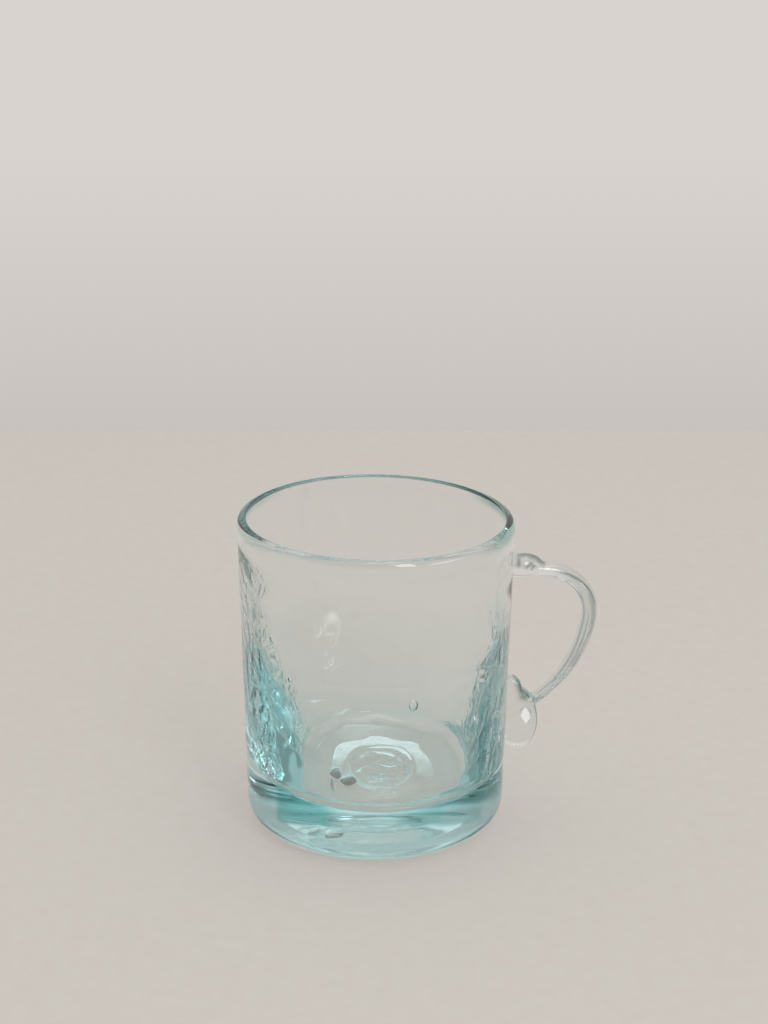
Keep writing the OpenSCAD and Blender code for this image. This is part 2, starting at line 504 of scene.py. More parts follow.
@dataclass
class Cup:
    """The blown bowl, the heavy base under it and the pontil mark in the base's hollow."""

    # Outside, foot and rim
    height: float = 74.0
    rim_r: float = 31.6
    foot_r: float = 29.75
    ring_r: float = 22.75
    heel_round: float = 5.6
    rim_t: float = 2.2
    rim_roll_w: float = 1.2
    rim_roll_h: float = 2.0
    rim_slope: float = 22.0
    rim_round_in: float = 0.4
    rim_steps: int = 21
    rim_band: float = 6.0
    # Inner wall, floor and the dome in its middle
    band_bend_r: float = 12.0
    wall_t: float = 1.6
    thick_z: float = 43.5
    thick_t: float = 1.4
    thick_bend_r: float = 45.0
    floor_z: float = 11.5
    floor_r: float = 21.8
    floor_round: float = 5.5
    dome_r: float = 13.5
    dome_h: float = 1.5
    dome_top_r: float = 7.0
    dome_top_h: float = 1.3
    dome_round: float = 5.0
    # Seam to the base, and the hollow under it
    seam_z: float = 8.0
    weld_gap: float = 0.01
    hollow_r: float = 13.0
    hollow_top_r: float = 7.8
    hollow_h: float = 1.5
    hollow_round: float = 5.0
    hollow_edge: float = 1.0
    # Pontil scar in the hollow
    pontil_r: float = 7.0
    pontil_t: float = 0.8
    pontil_round: float = 0.3
    dish_r: float = 4.5
    dish_h: float = 0.3
    dish_round: float = 6.0
    scar_seat_r: float = 6.7
    scar_lobes: tuple[Triple, ...] = ((0.05, 3, 0.5), (0.03, 7, 1.3))
    scar_free: Fade = Fade(0.1, 0.5)
    scar_break: Ripple = Ripple(0.04, 3.0, 21)
    scar_grain: Ripple = Ripple(0.012, 1.6, 22)
    past_dish: Fade = Fade(1, -2)
    # How far the cup stands and its cavity and hollow lie off true
    lean: float = 0.0038
    rim_tilt: float = 0.0129
    tilt_from: float = 30.0
    cavity_shift: float = 1.75
    cavity_tip: float = 3.0
    drift_from: float = 44.0
    drift_run: float = 28.0
    upper_drift: float = 0.3
    upper_drift_fade: Fade = Fade(70, 60)
    floor_return: float = 0.3
    floor_return_fade: Fade = Fade(20, 12)
    hollow_shift: float = 3.0
    shift_reach: float = 8.0
    shift_margin: float = 1.0
    axis_guard: float = 1.0
    # Painted shade at the rim's two ends and in a band along the front of the heel, and the marks of the
    # maker's tools
    rim_shade_left: float = 0.45
    rim_shade_right: float = 0.85
    rim_shade_drop: Fade = Fade(3.4, 1.4)
    rim_shade_sides: Fade = Fade(0.7, 0.95)
    heel_shade: HeelShade = HeelShade()
    hand_work: HandWork = HandWork()
    # Fineness of the meshes
    turns: int = 448
    crowding: float = 0.6
    scar_turns: int = 160
    scar_step: float = 0.25
    wall_step: float = 1.0
    worked_step: float = 0.35
    cap_step: float = 3.0
    # Seeds in the wall, and specks and one seed under the floor
    seeds: tuple[Seed, ...] = (
        Seed(-73.5, 39.5, 0.9, 1.0, 1.35, 0.35),
        Seed(-128.0, 43.5, 0.8, 0.5, 0.6, 0.25),
    )
    specks: tuple[Seed, ...] = (
        Seed(179.5, 1.9, 18.9, 2.0, 0.2, 2.5, 0.75),
        Seed(-161.8, 2.5, 22.43, 2.1, 0.2, 2.1, 0.8),
        Seed(-157.8, 2.1, 16.95, 2.6, 0.15, 0.4, 0.5),
        Seed(-65.9, 2.6, 21.5, 0.5, 0.5, 0.5),
    )

    def wall_r(self, z: float) -> float:
        """Gives the outside radius of the wall at a height."""
        return self.foot_r + (self.rim_r - self.foot_r) * z / self.height

    def bowl_section(self) -> list[Stretch]:
        """Traces the bowl's section from the middle of its weld up the outside and down the inside.

        Returns:
            The section's stretches.
        """
        low = self.seam_z + self.weld_gap
        band_z = self.height - self.rim_band
        slope = math.tan(math.radians(self.rim_slope))
        last = math.atan(self.rim_roll_h / self.rim_roll_w / slope)
        drop = (self.rim_t - self.rim_roll_w * (1 - math.cos(last))) * slope
        shoulder_z = self.height - drop - self.rim_roll_h * math.sin(last)
        shoulder_r = self.wall_r(shoulder_z)
        turn = np.linspace(0, last, self.rim_steps + 1)[1:]
        roll = np.column_stack([
            shoulder_r - self.rim_roll_w * (1 - np.cos(turn)),
            shoulder_z + self.rim_roll_h * np.sin(turn),
        ])
        cap = trace([Corner(0, low), Corner(self.wall_r(low), low)], self.cap_step)
        side = trace([Corner(self.wall_r(low), low), Corner(shoulder_r, shoulder_z)], self.wall_step)
        outside = np.vstack([side, roll])
        inside = trace([
            Corner(*roll[-1]),
            Corner(shoulder_r - self.rim_t, self.height, self.rim_round_in),
            Corner(self.wall_r(band_z) - self.wall_t, band_z, self.band_bend_r),
            Corner(self.wall_r(self.thick_z) - self.thick_t, self.thick_z, self.thick_bend_r),
            Corner(self.floor_r, self.floor_z, self.floor_round),
            Corner(self.dome_r, self.floor_z, self.dome_round),
            Corner(self.dome_top_r, self.floor_z + self.dome_top_h, self.dome_round),
            Corner(0, self.floor_z + self.dome_h),
        ], self.worked_step)
        return [Stretch(Skin.CAP, cap), Stretch(Skin.OUTSIDE, outside), Stretch(Skin.INSIDE, inside)]

    def base_section(self) -> list[Stretch]:
        """Traces the base's section from the middle of its hollow round the heel to the middle of its weld.

        Returns:
            The section's stretches.
        """
        high = self.seam_z - self.weld_gap
        ring_end = Corner(self.ring_r, 0)
        seat = trace([Corner(0, self.hollow_h), Corner(self.scar_seat_r, self.hollow_h)], self.worked_step)
        underside = trace([
            Corner(self.scar_seat_r, self.hollow_h),
            Corner(self.hollow_top_r, self.hollow_h, self.hollow_round),
            Corner(self.hollow_r, 0, self.hollow_edge),
            ring_end,
        ], self.worked_step)
        outside = trace([
            ring_end, Corner(self.foot_r, 0, self.heel_round), Corner(self.wall_r(high), high),
        ], self.worked_step)
        cap = trace([Corner(self.wall_r(high), high), Corner(0, high)], self.cap_step)
        return [
            Stretch(Skin.CAP, seat),
            Stretch(Skin.UNDERSIDE, underside),
            Stretch(Skin.OUTSIDE, outside),
            Stretch(Skin.CAP, cap),
        ]

    def shaped(self, shell: Shell, outward: np.ndarray, skins: np.ndarray) -> None:
        """Gives a spun skin the unevenness, lean and tilt of hand-worked glass, and paints its shade at the
        rim's ends and along the heel.

        Args:
            shell: The skin, which is changed in place.
            outward: The direction out of the glass at each point.
            skins: The skin that each point is on.
        """
        work, spots = self.hand_work, shell.spots
        x, y, z = spots.T
        inside, below, outside = (skins == skin for skin in (Skin.INSIDE, Skin.UNDERSIDE, Skin.OUTSIDE))
        reach = np.hypot(x, y)
        beside = np.abs(x) / np.maximum(reach, self.axis_guard)
        low_wall = inside * np.where(x < 0, work.left_top.at(z), work.right_top.at(z))
        sideways = low_wall * work.sides.at(beside)
        hollow = below * work.past_hollow.at(reach - self.hollow_r)
        hollow = hollow * work.past_seat.at(reach - self.scar_seat_r)
        lift = low_wall * work.wavy_foot.at(z) * work.wavy.at(spots)
        lift += sideways * work.hammer_foot.at(z) * work.hammered(spots)
        lift += inside * work.inner.at(spots) * work.inner_top.at(z)
        lift += outside * work.outer_foot.at(z) * work.outer_top.at(z) * work.outer.at(spots)
        lift += hollow * work.hollow.at(spots)
        shell.spots = spots + outward * lift[:, None]
        shell.worked = sideways * work.marked_foot.at(z)
        shell.scuffed = below.astype(float)
        # Painted shade near the top of the rim at its left and right ends, where the rim is seen edge-on
        rim = np.where(x < 0, self.rim_shade_left, self.rim_shade_right)
        rim = rim * self.rim_shade_drop.at(self.height - z) * self.rim_shade_sides.at(beside)
        # Painted shade in a band on the front of the outer wall above the heel
        shell.painted_shade = np.maximum(rim, outside * self.heel_shade.at(spots))
        self.tip(shell, spots, inside)

    def tip(self, shell: Shell, spots: np.ndarray, inside: np.ndarray) -> None:
        """Leans the cup, tilts its rim, and moves its cavity and the hollow under it off the axis.

        Args:
            shell: The skin, which is changed in place.
            spots: Its places before it was shaped, one a row.
            inside: Which of them lie on the cavity's wall.
        """
        x, y, z = spots.T
        sunk = np.clip((self.drift_from - z) / self.drift_run, 0, 1)
        drift = self.upper_drift * self.upper_drift_fade.at(z) + (1 - self.upper_drift) * sunk
        back = 1 - self.floor_return * self.floor_return_fade.at(z)
        shell.spots[:, 0] += inside * self.cavity_shift * drift * back + self.lean * z
        shell.spots[:, 1] -= inside * self.cavity_tip * sunk
        hollow_end, margin = self.hollow_r + self.shift_reach, self.shift_margin
        near_hollow = eased(np.hypot(x, y), hollow_end, self.hollow_r + margin)
        near_hollow *= eased(z, self.seam_z - margin, self.hollow_h + margin)
        shell.spots[:, 1] += (~inside) * self.hollow_shift * near_hollow
        shell.spots[:, 2] -= self.rim_tilt * x * eased(z, self.tilt_from, self.height)

    def spun(self, section: list[Stretch]) -> Shell:
        """Spins and shapes one of the sections.

        Args:
            section: The section's stretches.

        Returns:
            The shaped skin.
        """
        shell, outward, owners = spin(section, self.turns, self.crowding)
        kinds = np.array([stretch.skin for stretch in section], dtype=object)
        self.shaped(shell, outward, kinds[owners])
        return shell

    def envelope(self, inset: float) -> bpy.types.Mesh:
        """Makes a closed solid bounded by the outer wall, for seating the handle.

        Args:
            inset: How far inside the wall's skin the solid ends.

        Returns:
            The solid's mesh.
        """
        low, high = self.seam_z + self.weld_gap, self.height - self.rim_band
        walls = [Corner(self.wall_r(low) - inset, low), Corner(self.wall_r(high) - inset, high)]
        section = [
            Stretch(Skin.CAP, trace([Corner(0, low), walls[0]], self.cap_step)),
            Stretch(Skin.OUTSIDE, trace(walls, self.wall_step)),
            Stretch(Skin.CAP, trace([walls[1], Corner(0, high)], self.cap_step)),
        ]
        return self.spun(section).mesh("wall_envelope")

    def bubble(self, seed: Seed) -> Shell:
        """Makes the inward-facing skin of one seed.

        Args:
            seed: The seed's place and size.

        Returns:
            The seed's skin.
        """
        work = bmesh.new()
        bmesh.ops.create_icosphere(work, subdivisions=seed.fineness, radius=1)
        bmesh.ops.reverse_faces(work, faces=work.faces)
        shape = np.array([vertex.co for vertex in work.verts]) * (seed.thick, seed.across, seed.tall)
        faces = [tuple(vertex.index for vertex in face.verts) for face in work.faces]
        work.free()
        turn = math.radians(seed.angle)
        out = shape[:, 0] + self.wall_r(seed.z) - seed.depth
        spots = np.column_stack([
            out * math.cos(turn) - shape[:, 1] * math.sin(turn),
            out * math.sin(turn) + shape[:, 1] * math.cos(turn),
            shape[:, 2] + seed.z,
        ])
        shell = Shell(spots, faces, np.zeros(len(faces), dtype=bool))
        shell.soot[:] = seed.soot
        return shell

    def catch(self, mesh: bpy.types.Mesh, welds: np.ndarray, seeds: Iterable[Seed]) -> None:
        """Puts seeds into a piece and marks its welds again.

        Args:
            mesh: The piece's mesh, which is changed in place.
            welds: For each of its faces, whether it is a weld.
            seeds: The seeds.
        """
        work = bmesh.new()
        work.from_mesh(mesh)
        for seed in seeds:
            part = self.bubble(seed).mesh("seed")
            work.from_mesh(part)
            bpy.data.meshes.remove(part)
        more = np.zeros(len(work.faces) - len(welds), dtype=bool)
        work.to_mesh(mesh)
        work.free()
        mark_welds(mesh, np.concatenate([welds, more]))

    def build_bowl(self, seat: bpy.types.Mesh) -> bpy.types.Object:
        """Builds the bowl, opened to the handle where the pads are welded on.

        Args:
            seat: The handle's mesh, reaching a hair's breadth into the wall.

        Returns:
            The bowl's object.
        """
        plain = self.spun(self.bowl_section()).mesh("bowl_skin")
        mesh, opened = cut_away("bowl_skin", plain, seat)
        weld = np.zeros(len(mesh.polygons), dtype=np.float32)
        mesh.attributes[WELD].data.foreach_get("value", weld)
        self.catch(mesh, opened | (weld > MARKED), self.seeds)
        return shown("blown_bowl", mesh)

    def build_base(self) -> bpy.types.Object:
        """Builds the heavy base, with the specks under its floor.

        Returns:
            The base's object.
        """
        shell = self.spun(self.base_section())
        mesh = shell.mesh("base_skin")
        self.catch(mesh, shell.weld, self.specks)
        return shown("heavy_base", mesh)

    def build_pontil(self) -> bpy.types.Object:
        """Builds the rough scar in the middle of the base's hollow.

        Returns:
            The scar's object.
        """
        top = self.hollow_h - self.weld_gap
        low = self.hollow_h - self.pontil_t
        dish_z = low + self.dish_h
        crust = trace([
            Corner(0, dish_z),
            Corner(self.dish_r, dish_z, self.dish_round),
            Corner(self.pontil_r, low, self.pontil_round),
            Corner(self.pontil_r, top - self.pontil_round),
            Corner(self.scar_seat_r, top),
        ], self.scar_step)
        seat = trace([Corner(self.scar_seat_r, top), Corner(0, top)], self.worked_step)
        shell, outward, _ = spin([Stretch(Skin.UNDERSIDE, crust), Stretch(Skin.CAP, seat)], self.scar_turns)
        spots = shell.spots
        angle = np.arctan2(spots[:, 1], spots[:, 0])
        depth = (top - spots[:, 2]) / (top - low)
        edge = sum(height * np.sin(count * angle + turn) for height, count, turn in self.scar_lobes)
        spots[:, :2] *= (1 + edge * depth)[:, None]
        reach = np.hypot(spots[:, 0], spots[:, 1])
        free = np.clip(-outward[:, 2], 0, 1) * self.scar_free.at(depth)
        broken = self.scar_break.at(spots) * eased(reach, self.pontil_r, self.dish_r)
        broken += self.scar_grain.at(spots) * self.past_dish.at(reach - self.dish_r)
        spots[:, 2] += free * broken
        spots[:, 1] += self.hollow_shift
        return shown("pontil_scar", shell.mesh("pontil_skin"))


@dataclass(frozen=True)
class Lump:
    """A round lump of hot glass on the wall, in the handle's plane."""

    x: float
    z: float
    half_sizes: Triple
    flat: float = 1.0
    fineness: int = 5

    def add_to(self, work: bmesh.types.BMesh) -> None:
        """Adds the lump to a mesh in the making.

        Args:
            work: The mesh in the making, in metres.
        """
        middle = Vector((self.x, 0, self.z))
        for vertex in bmesh.ops.create_icosphere(work, subdivisions=self.fineness, radius=1)["verts"]:
            x, y, z = vertex.co
            way = Vector((x, math.copysign(abs(y) ** self.flat, y), z))
            vertex.co = (middle + Vector(c * h for c, h in zip(way, self.half_sizes))) * MM


@dataclass(frozen=True)
class Ridge:
    """A wave round the strap that drawing leaves, which turns slowly along it."""

    height: float
    count: int
    turn: float
    twist: float

    def at(self, angle: np.ndarray, share: np.ndarray) -> np.ndarray:
        """Gives the wave's height at angles round the strap and shares of its length."""
        return self.height * np.cos(self.count * angle + self.turn + self.twist * share)


@dataclass(frozen=True)
class StrapPlaces:
    """Where places on the handle lie along the strap, round its middle and out from it."""

    share: np.ndarray
    angle: np.ndarray
    around: np.ndarray


@dataclass(frozen=True)
class DeepLine:
    """A line of painted shade along the strap, by its place across the strap at shares of its length."""

    shares: tuple[float, ...]
    places: tuple[float, ...]
    width: float
    depth: float
    fade: float = 0.06

    def at(self, share: np.ndarray, across: np.ndarray) -> np.ndarray:
        """Works out how strong the line's painted shade is at places on the strap.

        Args:
            share: Shares of the strap's length.
            across: Places across the strap, from -1 to 1.

        Returns:
            The painted shade at each place, up to the line's own.
        """
        first, last = self.shares[0], self.shares[-1]
        place = np.interp(share, self.shares, self.places)
        ends = eased(share, first, first + self.fade) * eased(share, last, last - self.fade)
        return self.depth * ends * np.exp(-(((across - place) / self.width) ** 2))


@dataclass(frozen=True)
class DeepStroke:
    """A stroke of painted shade on the handle's front, along places in the handle's plane."""

    places: tuple[tuple[float, float], ...]
    width: float
    depth: float

    def at(self, spots: np.ndarray) -> np.ndarray:
        """Works out how strong the stroke's painted shade is at places on the handle.

        Args:
            spots: Places in millimetres, one a row.

        Returns:
            The painted shade at each place, up to the stroke's own.
        """
        line, flat = np.array(self.places), spots[:, [0, 2]]
        away = np.full(len(spots), np.inf)
        for start, end in zip(line, line[1:]):
            run = end - start
            share = np.clip((flat - start) @ run / (run @ run), 0, 1)
            away = np.minimum(away, np.linalg.norm(flat - start - share[:, None] * run, axis=1))
        return self.depth * np.exp(-((away / self.width) ** 2)) * (spots[:, 1] < 0)


@dataclass(frozen=True)
class ThumbMark:
    """A flat tooled patch on the front of the handle, which mirrors the lamp."""

    x: float
    y: float
    z: float
    wide: float
    tall: float
    slope_x: float
    slope_z: float
    edge: Fade = Fade(1.3, 0.9)
    front_y: float = -0.5

    def press(self, spots: np.ndarray) -> None:
        """Moves places near the mark on to its plane.

        Args:
            spots: Places in millimetres, one a row, which are changed in place.
        """
        across, up = spots[:, 0] - self.x, spots[:, 2] - self.z
        near = self.edge.at(np.hypot(across / self.wide, up / self.tall)) * (spots[:, 1] < self.front_y)
        plane = self.y + self.slope_x * across + self.slope_z * up
        spots[:, 1] += near * (plane - spots[:, 1])


@dataclass(frozen=True)
class Slice:
    """A square cut through the handle within a range of heights."""

    place: Vector
    way: Vector
    keep: Side
    gap: float
    low: float
    high: float
    alone: bool

    def apply(self, work: bmesh.types.BMesh, flag: bmesh.types.BMLayerItem) -> None:
        """Cuts the mesh, takes away the other side and closes the cut.

        Args:
            work: The mesh in the making.
            flag: The layer that marks welded faces.
        """
        place = (self.place + self.way * (self.gap * self.keep.value)) * MM
        near = [face for face in work.faces if self.low < face.calc_center_median().z / MM < self.high]
        geometry = near + list({e for f in near for e in f.edges}) + list({v for f in near for v in f.verts})
        bmesh.ops.bisect_plane(work, geom=geometry, dist=TINY, plane_co=place, plane_no=self.way)
        gone = []
        for face in work.faces:
            middle = face.calc_center_median()
            in_range = self.low < middle.z / MM < self.high
            other_side = (middle - place).dot(self.way) * self.keep.value < 0
            if (in_range and other_side) or (self.alone and not in_range):
                gone.append(face)
        bmesh.ops.delete(work, geom=gone, context="FACES")
        rim = [edge for edge in work.edges if edge.is_boundary]
        for face in bmesh.ops.holes_fill(work, edges=rim, sides=0)["faces"]:
            face[flag] = 1
        bmesh.ops.triangulate(work, faces=[face for face in work.faces if len(face.verts) > QUAD])
        bmesh.ops.recalc_face_normals(work, faces=work.faces)


@dataclass
class Handle:
    """The drawn strap and the two lumps of glass that hold it to the wall."""

    # Middle line of the strap, and its sizes at shares of its length
    start_x: float = 31.0
    start_z: float = 61.5
    top_z: float = 60.85
    upper_bend_x: float = 39.0
    upper_bend_r: float = 10.15
    upper_start: float = 90.0
    upper_steps: int = 60
    lower_bend_x: float = 18.35
    lower_bend_z: float = 53.6
    lower_bend_r: float = 31.0
    bend_change: float = -8.0
    lower_end: float = -52.0
    lower_steps: int = 90
    end_x: float = 33.2
    end_z: float = 26.6
    line_steps: int = 320
    strap_sides: int = 40
    shares: tuple[float, ...] = (0.0, 0.45, 0.7, 0.85, 1.0)
    thicknesses: tuple[float, ...] = (3.1, 3.6, 3.0, 2.4, 2.5)
    widths: tuple[float, ...] = (5.0, 5.6, 4.9, 4.3, 4.6)
    # Drawn ridges, and how the glass runs together
    ridge_h: float = 0.16
    ridges: tuple[Ridge, ...] = (Ridge(1.0, 3, 0.7, 1.2), Ridge(0.7, 5, 0.0, -1.6))
    groove_h: float = 0.07
    grooves: tuple[Ridge, ...] = (Ridge(1.0, 8, 0.0, 0.9), Ridge(0.8, 11, 1.0, -2.0))
    ridge_start: Fade = Fade(0.1, 0.2)
    ridge_end: Fade = Fade(0.95, 0.86)
    off_strap: Fade = Fade(1.5, 1.15)
    unevenness: Ripple = Ripple(0.03, 8.0, 31)
    voxel: float = 0.22
    smoothing: int = 30
    smoothing_factor: float = 0.5
    # An even darkening of the strap, painted shade in lines and strokes on the front, and the thumb mark
    strap_darkening: float = 0.1
    tint_start: Fade = Fade(0.14, 0.22)
    painted_shade_lines: tuple[DeepLine, ...] = (
        DeepLine((0.17, 0.25, 0.34, 0.45), (0.2, 0.45, 0.7, 0.75), 0.16, 1.0),
        DeepLine((0.32, 0.42, 0.58), (0.55, 0.5, 0.7), 0.4, 0.7),
        DeepLine((0.5, 0.7, 0.97), (0.8, 0.75, 0.75), 0.2, 0.65),
        DeepLine((0.22, 0.35, 0.6, 0.85), (-0.85, -0.7, -0.7, -0.6), 0.14, 0.7),
        DeepLine((0.4, 0.6, 0.8, 0.97), (-0.2, -0.25, -0.2, -0.3), 0.12, 0.6),
    )
    painted_shade_strokes: tuple[DeepStroke, ...] = (
        # Painted shade on the top of the upper pad
        DeepStroke(((32.6, 62.8), (32.7, 64.3), (34.5, 64.6), (36.5, 63.9), (38.4, 62.5)), 0.5, 0.9),
        DeepStroke(((34.4, 62.2), (35.3, 63.0), (36.2, 62.5), (35.6, 61.8)), 0.4, 0.8),
        # Painted shade in the crease where the strap folds on to the lower pad
        DeepStroke(((33.4, 32.8), (33.9, 31.2), (34.2, 30.2), (35.0, 30.0)), 0.9, 1.0),
    )
    thumb_mark: ThumbMark = ThumbMark(34.9, -2.7, 25.6, 1.2, 1.7, 0.159, 0.669)
    # Where the strap meets the pads, and the lumps on the wall
    upper_face_x: float = 37.03
    seat_x: float = 35.9
    seat_z: float = 28.1
    seat_turn: float = 61.0
    joint_gap: float = 0.01
    weld_depth: float = 0.03
    lumps: tuple[Lump, ...] = (
        Lump(33.4, 61.8, (5.0, 3.2, 2.9)),
        Lump(33.0, 24.0, (4.8, 3.0, 7.3), 0.3),
        Lump(31.4, 31.2, (2.6, 2.4, 3.2), 0.3),
    )

    def centreline(self) -> np.ndarray:
        """Traces the middle of the strap in the handle's plane.

        Returns:
            Points as X and Z in close even steps, one a row.
        """
        upper = np.radians(np.linspace(self.upper_start, self.bend_change, self.upper_steps))
        lower = np.radians(np.linspace(self.bend_change, self.lower_end, self.lower_steps))[1:]
        upper_middle = (self.upper_bend_x, self.top_z - self.upper_bend_r)
        lower_middle = (self.lower_bend_x, self.lower_bend_z)
        bends = [
            np.column_stack([middle[0] + r * np.cos(turn), middle[1] + r * np.sin(turn)])
            for middle, r, turn in (
                (upper_middle, self.upper_bend_r, upper), (lower_middle, self.lower_bend_r, lower),
            )
        ]
        rough = np.vstack([[self.start_x, self.start_z], *bends, [self.end_x, self.end_z]])
        run = np.concatenate([[0], np.cumsum(np.linalg.norm(np.diff(rough, axis=0), axis=1))])
        even = np.linspace(0, run[-1], self.line_steps)
        return np.column_stack([np.interp(even, run, rough[:, axis]) for axis in (0, 1)])

    def sizes_at(self, share: np.ndarray) -> tuple[np.ndarray, np.ndarray]:
        """Gives the strap's half thickness and half width at shares of its length."""
        thick, wide = (np.interp(share, self.shares, sizes) for sizes in (self.thicknesses, self.widths))
        return thick / 2, wide / 2

    def strap_mesh(self, work: bmesh.types.BMesh) -> None:
        """Adds the strap's swept tube to a mesh in the making.

        Args:
            work: The mesh in the making, in metres.
        """
        line = self.centreline()
        half_t, half_w = self.sizes_at(np.linspace(0, 1, len(line)))
        angles = np.linspace(0, 2 * math.pi, self.strap_sides, endpoint=False)
        section = list(zip(np.cos(angles), np.sin(angles)))
        rings = []
        for (x, z), (way_x, way_z), t, w in zip(line, headings(line), half_t, half_w):
            rings.append([
                work.verts.new(((x - way_z * t * a) * MM, w * b * MM, (z + way_x * t * a) * MM))
                for a, b in section
            ])
        for low, high in zip(rings, rings[1:]):
            for j in range(len(angles)):
                k = (j + 1) % len(angles)
                work.faces.new((low[j], low[k], high[k], high[j]))
        work.faces.new(rings[0][::-1])
        work.faces.new(rings[-1])

    def skin(self) -> bpy.types.Mesh:
        """Makes the handle's whole skin, with lumps and strap run together.

        Returns:
            The closed mesh, which reaches into the cup's wall.
        """
        work = bmesh.new()
        self.strap_mesh(work)
        for lump in self.lumps:
            lump.add_to(work)
        bmesh.ops.recalc_face_normals(work, faces=work.faces)
        rough = bpy.data.meshes.new("handle_rough")
        work.to_mesh(rough)
        work.free()
        obj = shown("handle_rough", rough)
        remesh = obj.modifiers.new("run_together", "REMESH")
        remesh.mode, remesh.voxel_size = "VOXEL", self.voxel * MM
        soften = obj.modifiers.new("soften", "SMOOTH")
        soften.factor, soften.iterations = self.smoothing_factor, self.smoothing
        mesh = settled(obj)
        discard(obj)
        self.work_over(mesh)
        return mesh

    def along_strap(self, spots: np.ndarray) -> StrapPlaces:
        """Finds where places on the handle lie along the strap and round its middle.

        Args:
            spots: Places in millimetres, one a row.

        Returns:
            Where each of them lies.
        """
        line, flat = self.centreline(), spots[:, [0, 2]]
        near = np.array([np.argmin(((line - spot) ** 2).sum(axis=1)) for spot in flat])
        share = near / (len(line) - 1)
        offset, ways = flat - line[near], headings(line)[near]
        half_t, half_w = self.sizes_at(share)
        across = spots[:, 1] / half_w
        out = (-offset[:, 0] * ways[:, 1] + offset[:, 1] * ways[:, 0]) / half_t
        return StrapPlaces(share, np.arctan2(across, out), np.hypot(across, out))

    def ridges_at(self, places: StrapPlaces) -> np.ndarray:
        """Works out the lengthwise ridges that drawing leaves on the strap.

        Args:
            places: Where places on the handle lie along the strap.

        Returns:
            The height of the ridges at each place, in millimetres.
        """
        share = places.share
        ridge = sum(wave.at(places.angle, share) for wave in self.ridges)
        groove = sum(wave.at(places.angle, share) for wave in self.grooves)
        free = self.ridge_start.at(share) * self.ridge_end.at(share) * self.off_strap.at(places.around)
        return free * (self.ridge_h * ridge + self.groove_h * groove) / 2

    def tint_at(self, places: StrapPlaces, spots: np.ndarray) -> np.ndarray:
        """Works out the even darkening of the strap and the painted shade in lines and strokes on the
        handle's front.

        Args:
            places: Where places on the handle lie along the strap.
            spots: The places in millimetres, one a row.

        Returns:
            The tint's depth at each place.
        """
        front, across = spots[:, 1] < 0, np.cos(places.angle)
        # An even darkening of the strap, then lines and strokes of painted shade on the front
        painted_shade = self.strap_darkening * self.tint_start.at(places.share)
        for line in self.painted_shade_lines:
            painted_shade = np.maximum(painted_shade, front * line.at(places.share, across))
        painted_shade *= self.off_strap.at(places.around)
        for stroke in self.painted_shade_strokes:
            painted_shade = np.maximum(painted_shade, stroke.at(spots))
        return painted_shade

    def work_over(self, mesh: bpy.types.Mesh) -> None:
        """Raises the strap's ridges, presses the thumb mark and paints the strap's darkening and its shade.

        Args:
            mesh: The handle's skin, which is changed in place.
        """
        flat = np.zeros(len(mesh.vertices) * 3)
        normals = np.zeros_like(flat)
        mesh.vertices.foreach_get("co", flat)
        mesh.vertex_normals.foreach_get("vector", normals)
        spots = flat.reshape(-1, 3) / MM
        places = self.along_strap(spots)
        lift = self.ridges_at(places) + self.unevenness.at(spots)
        spots += normals.reshape(-1, 3) * lift[:, None]
        self.thumb_mark.press(spots)
        mesh.vertices.foreach_set("co", (spots * MM).ravel())
        painted_shade = self.tint_at(places, spots)
        mesh.attributes.new(PAINTED_SHADE, "FLOAT", "POINT").data.foreach_set("value", painted_shade.astype(np.float32))
        mesh.update()

    def part(
        self, name: str, whole: bpy.types.Mesh, weld: np.ndarray, cuts: Iterable[Slice]
    ) -> bpy.types.Object:
        """Takes one piece out of the handle's skin by square cuts that become welds.

        Args:
            name: The piece's name.
            whole: The handle's skin, cut off at the cup's wall.
            weld: Which of its faces lie on the cup's wall.
            cuts: The cuts that bound the piece.

        Returns:
            The piece's object.
        """
        work = bmesh.new()
        work.from_mesh(whole)
        flag = work.faces.layers.int.new("on_weld")
        for face, on_wall in zip(work.faces, weld):
            face[flag] = int(on_wall)
        for cut in cuts:
            cut.apply(work, flag)
        mesh = bpy.data.meshes.new(name)
        welds = np.array([face[flag] for face in work.faces], dtype=bool)
        work.faces.layers.int.remove(flag)
        work.to_mesh(mesh)
        work.free()
        mark_welds(mesh, welds)
        return shown(name, mesh)

    def build(self, cup: Cup, skin: bpy.types.Mesh) -> dict[str, bpy.types.Object]:
        """Builds the two pads and the strap.

        Args:
            cup: The cup that carries the handle.
            skin: The handle's whole skin.

        Returns:
            The pieces by the node that each stands for.
        """
        whole, weld = cut_away("handle_skin", skin.copy(), cup.envelope(0))
        turn = math.radians(self.seat_turn)
        upper = Vector((self.upper_face_x, 0, self.top_z))
        lower = Vector((self.seat_x, 0, self.seat_z))
        outward, along = Vector((1, 0, 0)), Vector((-math.sin(turn), 0, -math.cos(turn)))
        middle_z = (self.top_z + self.end_z) / 2
        pad_up = [Slice(upper, outward, Side.BEHIND, self.joint_gap, middle_z, math.inf, True)]
        pad_low = [Slice(lower, along, Side.AHEAD, self.joint_gap, -math.inf, middle_z, True)]
        strap = [
            Slice(upper, outward, Side.AHEAD, self.joint_gap, middle_z, math.inf, False),
            Slice(lower, along, Side.BEHIND, self.joint_gap, -math.inf, middle_z, False),
        ]
        return {
            "upper_pad": self.part("upper_pad_lump", whole, weld, pad_up),
            "handle_strap": self.part("drawn_strap", whole, weld, strap),
            "lower_pad": self.part("lower_pad_lump", whole, weld, pad_low),
        }


